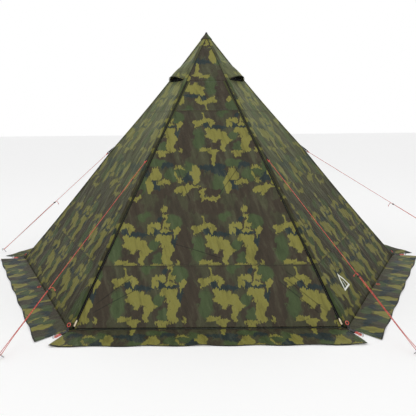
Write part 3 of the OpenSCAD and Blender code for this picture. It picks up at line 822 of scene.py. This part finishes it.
knots = []
for line in GUY_LINES:
    corner, down = GUY_LINES[line][0], line_frame(line)[1]
    outward = radial(corner) * math.cos(TAB_SLOPE) - up_z * math.sin(TAB_SLOPE)
    square = radial(corner) * math.sin(TAB_SLOPE) + up_z * math.cos(TAB_SLOPE)
    ridge_start = radial(corner) * base_radius * (1 - TAB_SHARE) + up_z * peak_height * TAB_SHARE
    through, below = ridge_start + outward * 0.048, tab_point(corner) + down * 0.004
    tail = guy_route(line)[-1]
    knots.append(turns("tab_loop_" + line, through, square, 1, 0.0080, 0.0018, 0, 0.0))
    knots.append(turns("tab_knot_" + line, below, down, 4, 0.0042, 0.0020, 0.0034, 0.25))
    knots.append(turns("tail_knot_" + line, tail - up_z * 0.001, -up_z, 2, 0.0026, 0.0018, 0.0028, 0.45))
for corner in range(6):
    foot = radial(corner) * (base_radius - 0.020) + up_z * 0.030
    lean = unit(radial(corner) * peak_height / base_radius + up_z)
    knots.append(turns(f"corner_ring_{corner}", foot + lean * 0.012, lean, 1, 0.0125, 0.0026, 0, 0.0))
print("tied", len(knots), "knots and loops")

# %% [markdown]
# ## Groundsheet
# The floor is one tough woven sheet that covers the six-sided base. It is laid out as rings that
# shrink towards the pole, and it keeps the faint creases that it was folded along.
# %% Lay the groundsheet
FOLD_STEP, FOLD_HALF = 0.62, 0.012


def pressed(v):
    """1 along the lines that the sheet was folded on."""
    return np.exp(-((np.mod(v + FOLD_STEP / 2, FOLD_STEP) - FOLD_STEP / 2) / FOLD_HALF) ** 2)


turn, reach = np.meshgrid(np.linspace(0, 2 * math.pi, 97), np.linspace(1, 0, 44))
side_angle = np.mod(turn, math.pi / 3) - math.pi / 6
edge = (base_radius - CORNER_INSET) * math.cos(math.pi / 6) / np.cos(side_angle)
x, y = edge * reach * np.cos(turn), edge * reach * np.sin(turn)
crease = pressed(x) + pressed(y)
clear_foot = np.clip((np.hypot(x, y) - 0.06) / 0.1, 0, 1)
z = 0.0013 + (0.0009 * crease + 0.0004 * np.sin(9 * x) * np.sin(7 * y)) * clear_foot
groundsheet = cloth_piece("groundsheet_cloth", np.stack([x, y, z], -1), np.stack([x, y], -1), 0.0006)
shell = bmesh.new()
shell.from_mesh(groundsheet.data)
bmesh.ops.remove_doubles(shell, verts=shell.verts, dist=1e-6)
shell.to_mesh(groundsheet.data)
shell.free()
belongs(groundsheet, "root", "groundsheet", "groundsheet")

# %% [markdown]
# ## Printed cloth
# The print is laid down in layers, as a press does it: a dark ground, soft green blotches, brown and
# navy shapes, and last the large olive ones. Each shape is a group of ovals, written as middle and
# half size in millimetres, and its place is pushed about by noise so that the edge is ragged.
# %% The shapes of one turn of the print roller
REPEAT_X, REPEAT_Y = 0.59, 0.93
OLIVE = [
    (0, 0, 81, 60), (96, -44, 46, 33), (57, -107, 27, 61), (-48, 36, 38, 36), (205, 36, 59, 37),
    (248, -15, 32, 53), (236, -102, 34, 51), (177, -163, 52, 23), (-80, -127, 52, 26),
    (-12, -155, 30, 28), (-12, -215, 22, 65), (-72, 137, 62, 21), (-138, 112, 44, 20),
    (-148, 86, 20, 17), (-98, 183, 11, 36), (-22, 112, 18, 26), (148, 147, 44, 27), (115, 112, 18, 28),
    (224, 112, 30, 18), (215, 224, 31, 25), (227, 163, 13, 40), (203, 290, 15, 28), (287, 97, 14, 40),
    (315, -152, 22, 12), (-158, -365, 44, 76), (-250, -490, 60, 34), (-170, -468, 55, 15),
    (122, -357, 49, 60), (90, -440, 27, 70), (203, -425, 45, 20), (-268, -295, 42, 14),
    (-309, -355, 13, 42), (-268, -410, 32, 13), (-100, -550, 15, 60), (-53, -575, 47, 20),
    (0, -545, 32, 18)]
NAVY = [
    (-10, 78, 95, 20), (110, 92, 60, 18), (215, 86, 75, 20), (-85, 106, 36, 26), (150, 110, 32, 22),
    (288, 30, 12, 55), (175, 205, 22, 34), (-30, -290, 95, 40), (20, -345, 65, 25), (150, -455, 36, 36),
    (-215, -395, 34, 45), (220, -275, 60, 30)]
GREEN = [
    (135, -10, 32, 55), (178, -105, 27, 45), (-138, -40, 52, 95), (290, 180, 52, 48), (50, 215, 50, 45),
    (20, -430, 52, 100), (-220, -330, 75, 65), (250, -350, 60, 55), (130, -255, 65, 35)]
BROWN = [
    (-20, -80, 48, 26), (340, -50, 55, 200), (-75, 300, 130, 70), (-50, -500, 80, 35),
    (180, -510, 80, 40), (-190, 20, 30, 80)]
print(len(OLIVE + NAVY + GREEN + BROWN), "ovals on the roller")


def roller(finish, x, y, stretch):
    """A place on the roller in four dimensions. Noise there repeats with the print and has no seam."""
    ring = []
    for value, period, size in ((x, REPEAT_X, stretch), (y, REPEAT_Y, 1.0)):
        angle = 2 * math.pi / period
        for turn in ("COSINE", "SINE"):
            ring.append((value * angle).alone(turn) * (period * size / (2 * math.pi)))
    return finish.join(*ring[:3]), ring[3]


def roller_noise(finish, place, shift, scale, detail, out=0):
    moved = finish.vector("ADD", place[0], (shift, 0.7 * shift, 0.0))
    inputs = {"Vector": moved, "W": place[1], "Scale": scale, "Detail": detail}
    return finish.node("TexNoise", {"noise_dimensions": "4D"}, inputs, out)


def pushed(finish, vector, noise, along, up):
    """The vector, moved by up to so much along and up."""
    move = finish.vector("MULTIPLY_ADD", noise, (along, up, 0.0), (-along / 2, -up / 2, 0.0))
    return finish.vector("ADD", vector, move)


def printed(finish, place, shapes, soft=0.05):
    """1 inside a group of ovals that repeats with the roller."""
    half = (REPEAT_X / 2, REPEAT_Y / 2, 1.0)
    nearest = None
    for oval in shapes:
        middle_x, middle_y, wide, high = (v / 1000 for v in oval)
        away = finish.vector("SUBTRACT", place, (middle_x, middle_y, 0.0))
        away = finish.vector("WRAP", away, half, tuple(-v for v in half))
        away = finish.vector("MULTIPLY", away, (1 / wide, 1 / high, 0.0))
        reach = finish.vector("LENGTH", away, out=1)
        nearest = reach if nearest is None else nearest.math("MINIMUM", nearest, reach)
    return 1 - finish.step(nearest, 1.0, soft)


# %% [markdown]
# The wall is sewn from three widths of cloth that were cut wherever they fell on the roll, so the
# print starts afresh at each seam, and the top width is sewn on upside down.
# %% The camouflage print
EARTH, DULL_GREEN, LEAF_GREEN = paint(59, 53, 40), paint(66, 66, 46), paint(66, 81, 48)
BARK, SLATE, STRAW = paint(58, 50, 38), paint(36, 48, 48), paint(126, 122, 58)


def roll_place(finish, x, y):
    """Where a point of a wall lies on the roll, for the three widths of cloth."""
    middle, top = (finish.step(y, seam, 0.0006) for seam in SEAMS)
    turned = 1 - top * 2
    across = x - 0.12 + middle * 0.05 + top * 0.17
    along = y - 0.204 - middle * 0.394 - top * 1.402
    return across * turned, along * turned


def camouflage(finish, x, y):
    x, y = roll_place(finish, x, y)
    even, drawn = roller(finish, x, y, 1.0), roller(finish, x, y, 2.4)
    tone = roller_noise(finish, drawn, 21.0, 4.5, 3.0)
    colour = finish.mix(finish.step(tone, 0.52, 0.03), EARTH, DULL_GREEN)
    flat = pushed(finish, finish.join(x, y), roller_noise(finish, even, 3.0, 15.0, 1.0, 1), 0.110, 0.110)
    torn = pushed(finish, flat, roller_noise(finish, drawn, 11.0, 46.0, 3.0, 1), 0.036, 0.085)
    colour = finish.mix(printed(finish, flat, GREEN, 0.22) * 0.9, colour, LEAF_GREEN)
    colour = finish.mix(printed(finish, torn, BROWN), colour, BARK)
    colour = finish.mix(printed(finish, torn, NAVY), colour, SLATE)
    return finish.mix(printed(finish, torn, OLIVE), colour, STRAW)


print("six inks in five layers")

# %% [markdown]
# The coating gives a faint sheen, and tight cloth shows many small creases, with a painted highlight
# on their ridges and painted shade in their hollows. The side walls are painted paler towards the top
# as a painted sheen, and darker towards the foot as painted shade. One wall carries a plain mark low
# down: the outline of a pointed tent with its door slit, which belongs to no maker.
# %% Cloth finishes
# Painted light: the first line holds the colours of a painted sheen on the side walls' tops and a painted
# highlight on crease ridges; the second holds painted shade in crease hollows and the painted shadow in the
# door's creases.
SHEEN_COLOUR, CREASE_HIGHLIGHT = paint(128, 136, 96), paint(160, 164, 126)
CREASE_SHADE, SHADE = paint(16, 18, 10), paint(14, 14, 10)
STITCH_OFF, FLAP_HEM_Y = 0.0055, -0.2095


def outline_mark(finish, x, y, centre_x, centre_y, size):
    """1 on a three-cornered outline and the slit in it."""
    px, py = x - centre_x, y - centre_y
    wide = abs(px)
    edge = px.math("MAXIMUM", wide * 0.866 + py * 0.5, py * -1.0) - size
    rim = 1 - finish.step(abs(edge), 0.0065, 0.0012)
    slit = (1 - finish.step(wide, 0.0035, 0.0012)) * (1 - finish.step(py, size * 0.5, 0.0015))
    return rim.math("MAXIMUM", rim, slit * (1 - finish.step(edge, 0.0, 0.002)))


def crease_lines(finish, x, y):
    """A thin shadow in the bottom of each sharp crease of the door."""
    shadow = 0.0
    for x0, y0, x1, y1, _ in DOOR_CREASES:
        long = math.hypot(x1 - x0, y1 - y0)
        ax, ay = (x1 - x0) / long, (y1 - y0) / long
        run = ((x - x0) * ax + (y - y0) * ay) / long
        off = abs((x - x0) * ay - (y - y0) * ax + 0.006)
        ends = finish.step(run, 0.10, 0.10) * (1 - finish.step(run, 0.90, 0.10))
        shadow = shadow + (1 - finish.step(off, 0.0030, 0.0026)) * ends
    return shadow


def cloth_finish(name, top_sheen, stitched=False, mark=None):
    """Printed cloth. The second argument is how much a painted sheen pales the top of the wall; when it is
    set, the foot is also given painted shade.
    """
    finish = Finish(name)
    flat = finish.mapped()
    x, y, _ = finish.split(flat)
    colour = camouflage(finish, x, y)
    streak = finish.noise(finish.join(x + y * 0.25, y * 0.20), 24, 4.0, 0.62)
    if top_sheen:
        # Painted shade: the side walls are darkened towards their foot.
        colour = finish.mix((1 - finish.step(y, 1.9, 0.7)) * 0.30, colour, paint(22, 24, 14))
        # Painted sheen: the top of the wall is paled, in streaks that follow the creases.
        painted_sheen = (finish.step(y, 1.5, 1.1) * top_sheen + finish.noise(flat, 2.2, 2.0) * 0.08) * (streak * 1.3 + 0.35)
        colour = finish.mix(painted_sheen, colour, SHEEN_COLOUR)
    else:
        colour = finish.mix(crease_lines(finish, x, y) * 0.62, colour, SHADE)
    # Painted highlight along the ridges of the creases, stronger on the side walls.
    colour = finish.mix(finish.step(streak, 0.60, 0.09) * (0.13 if top_sheen else 0.07), colour, CREASE_HIGHLIGHT)
    # Painted shade in the hollows of the creases.
    colour = finish.mix((1 - finish.step(streak, 0.42, 0.10)) * 0.30, colour, CREASE_SHADE)
    for seam in SEAMS:
        for side in (-1, 1):
            line = abs(y - (seam + side * STITCH_OFF))
            colour = finish.mix((1 - finish.step(line, 0.0011, 0.0006)) * 0.55, colour, paint(34, 36, 30))
    colour = finish.mix(1 - finish.step(y, FLAP_HEM_Y, 0.0012), colour, paint(26, 27, 18))
    if stitched:
        edge = finish.step(abs(x), BINDING_WIDTH / 2 - 0.0035, 0.0012)
        colour = finish.mix(edge * 0.7, colour, paint(28, 30, 26))
    if mark:
        colour = finish.mix(outline_mark(finish, x, y, *mark), colour, paint(226, 228, 220))
    weave = finish.noise(flat, 900, 1.0) * 0.03
    creases = (finish.noise(finish.join(x, y * 0.55), 8, 5.0, 0.66) * 1.15
               + streak * 0.40 + finish.noise(flat, 60, 3.0) * 0.10)
    rough = finish.noise(flat, 5, 3.0) * 0.20 + 0.42
    return finish.close(colour, rough, creases + weave, depth=0.024, gloss=0.07 if top_sheen else 0.22)


finishes = {
    "front": cloth_finish("camo_front", 0.0),
    "side": cloth_finish("camo_side", 0.42),
    "marked": cloth_finish("camo_side_marked", 0.42, mark=(-0.53 + ROLL_STEP, 0.21, 0.036)),
    "binding": cloth_finish("camo_binding", 0.18, stitched=True),
}
for key, piece in cloth.items():
    kind = "side"
    if key in ("front_top", "door", "hem", "flap_front", "flap_front_left", "flap_front_right"):
        kind = "front"
    elif key.startswith("binding"):
        kind = "binding"
    elif key == "front_right":
        kind = "marked"
    piece.data.materials.append(finishes[kind])
    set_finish(piece, "camo_cloth")
print("printed", len(cloth), "pieces of cloth")

# %% [markdown]
# ## Cord, webbing, metal and plastic
# The small parts each have their own surface: braid with pale flecks, ribbed webbing, drawn steel
# with fine lines along the rod, and moulded plastic with a matt grain.
# %% The other finishes


def cord_finish(name, sheath, fleck, mapped):
    finish = Finish(name)
    if mapped:
        turn, along, _ = finish.split(finish.mapped("cord"))
        strand = (turn * 25.13 + along * 1500).alone("SINE")
        braid = strand * (turn * 25.13 - along * 1500).alone("SINE")
        spots = finish.noise(finish.join(turn, along * 110), 2.0, 1.0)
    else:
        spots = finish.grain(260, 1.0)
        braid = finish.grain(700, 1.0)
    colour = finish.mix(finish.step(spots, 0.58, 0.04), sheath, fleck)
    return finish.close(colour, finish.grain(90) * 0.2 + 0.6, braid, depth=0.0004, sheen=0.3)


def webbing_finish(name, colour, scale=420):
    finish = Finish(name)
    ribs = finish.node("TexWave", {"bands_direction": "DIAGONAL"}, {"Vector": finish.place(), "Scale": scale})
    wear = finish.grain(60, 3.0)
    shade = finish.mix(finish.step(wear, 0.60, 0.08) * 0.6, colour, shaded(colour, 2.2, 0.004))
    return finish.close(shade, wear * 0.2 + 0.62, ribs, depth=0.0003, sheen=0.2)


def metal_finish(name, colour, rough, streak):
    finish = Finish(name)
    x, y, z = finish.split(finish.place())
    lines = finish.noise(finish.join(x * streak, y * streak, z * 4), 3.0, 3.0)
    dull = finish.grain(14, 3.0)
    shade = finish.mix(finish.step(dull, 0.60, 0.10) * 0.35, colour, shaded(colour, 0.7))
    return finish.close(shade, lines * 0.18 + rough, lines, depth=0.00008, metal=1.0)


def plastic_finish(name, colour, rough=0.42):
    finish = Finish(name)
    grain = finish.grain(1400, 2.0)
    scuff = finish.step(finish.grain(70, 4.0), 0.62, 0.06)
    shade = finish.mix(scuff * 0.35, colour, shaded(colour, 1.0, 0.05))
    return finish.close(shade, scuff * 0.2 + rough, grain, depth=0.00008)


def net_finish(name):
    finish = Finish(name)
    x, y, _ = finish.split(finish.mapped())
    threads = [(v * 3900).alone("SINE") for v in (x, y)]
    solid = finish.step(threads[0].math("MAXIMUM", *threads), 0.30, 0.12)
    finish.feed(finish.shader.inputs["Alpha"], solid * 0.75 + 0.25)
    return finish.close(paint(18, 19, 17), solid * 0.1 + 0.7, solid, depth=0.0002)


def zip_finish(name):
    """Black tape beside the teeth, wider near the ground, and a facing of the tent's cloth beyond it."""
    finish = Finish(name)
    inset, y, _ = finish.split(finish.mapped())
    away = abs(inset - ZIP_INSET)
    band = 0.013 - finish.step(y, 0.45, 0.35) * 0.0085
    colour = finish.mix(finish.step(away - band, 0.0, 0.0008), paint(8, 8, 8), paint(70, 72, 46))
    ribs = (y * 3100).alone("SINE")
    return finish.close(colour, finish.grain(80) * 0.2 + 0.6, ribs, depth=0.0002, gloss=0.1)


def sheet_finish(name):
    finish = Finish(name)
    flat = finish.mapped()
    x, y, _ = finish.split(flat)
    threads = [(v * 2100).alone("SINE") for v in (x, y)]
    dirt = finish.noise(flat, 3.5, 5.0)
    colour = finish.mix(finish.step(dirt, 0.55, 0.15) * 0.5, paint(72, 78, 70), paint(92, 90, 76))
    return finish.close(colour, dirt * 0.25 + 0.45, threads[0] * threads[1], depth=0.0003)


def sleeve_finish(name, nose):
    """Cloth on a piece without a cloth map: a hood's welt, or the cap with the pole's dark nose."""
    finish = Finish(name)
    x, y, z = finish.split(finish.place())
    colour = camouflage(finish, x + y * 0.6, z)
    if nose:
        colour = finish.mix(finish.step(z, peak_height - 0.013, 0.003), colour, paint(30, 30, 28))
    rough = finish.grain(60) * 0.2 + 0.5
    return finish.close(colour, rough, finish.grain(90, 3.0), 0.001, gloss=0.22)


red, pale = paint(198, 44, 34), paint(236, 150, 122)
slots = {
    "webbing": webbing_finish("black_webbing", paint(30, 30, 28)),
    "zip_tape": webbing_finish("zip_tape_weave", paint(11, 11, 11), 700),
    "zip_metal": metal_finish("black_painted_zinc", paint(52, 52, 52), 0.35, 60),
    "pull_cord": webbing_finish("pale_woven_pull", paint(206, 190, 160), 500),
    "mesh": net_finish("insect_net"),
    "pole_steel": metal_finish("zinc_plated_tube", paint(168, 170, 173), 0.26, 90),
    "peg_steel": metal_finish("bright_steel_rod", paint(176, 178, 180), 0.22, 120),
    "black_plastic": plastic_finish("moulded_black_plastic", paint(34, 34, 34)),
    "groundsheet": sheet_finish("woven_groundsheet"),
    "red_cord": cord_finish("red_fleck_webbing", red, pale, mapped=False),
    "camo_cloth": finishes["side"],
}
braid = cord_finish("red_fleck_braid", red, pale, mapped=True)
own = {"hood_welt_": sleeve_finish("welt_sleeve", False), "zip_tape_": zip_finish("faced_zip_tape")}
cap_cloth = sleeve_finish("cap_cloth", True)
for part in frame["record"]["subparts"]:
    node = frame["nodes"][part["node"]]
    node.data.materials.clear()
    node.data.materials.append(cap_cloth if part["node"] == "peak_cap" else slots[part["material_slot"]])
made = list(cords.values()) + knots + zips + [groundsheet]
made += [bpy.data.objects[kind + side] for kind in ("hood_welt_", "vent_net_") for side in ("left", "right")]
for piece in made:
    piece.data.materials.clear()
    piece.data.materials.append(braid if piece in cords.values() else slots[piece["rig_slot"]])
for name, finish in own.items():
    for side in ("left", "right"):
        bpy.data.objects[name + side].data.materials[0] = finish
print("finished", len(frame["nodes"]), "solids and", len(made) + len(cloth), "new pieces")
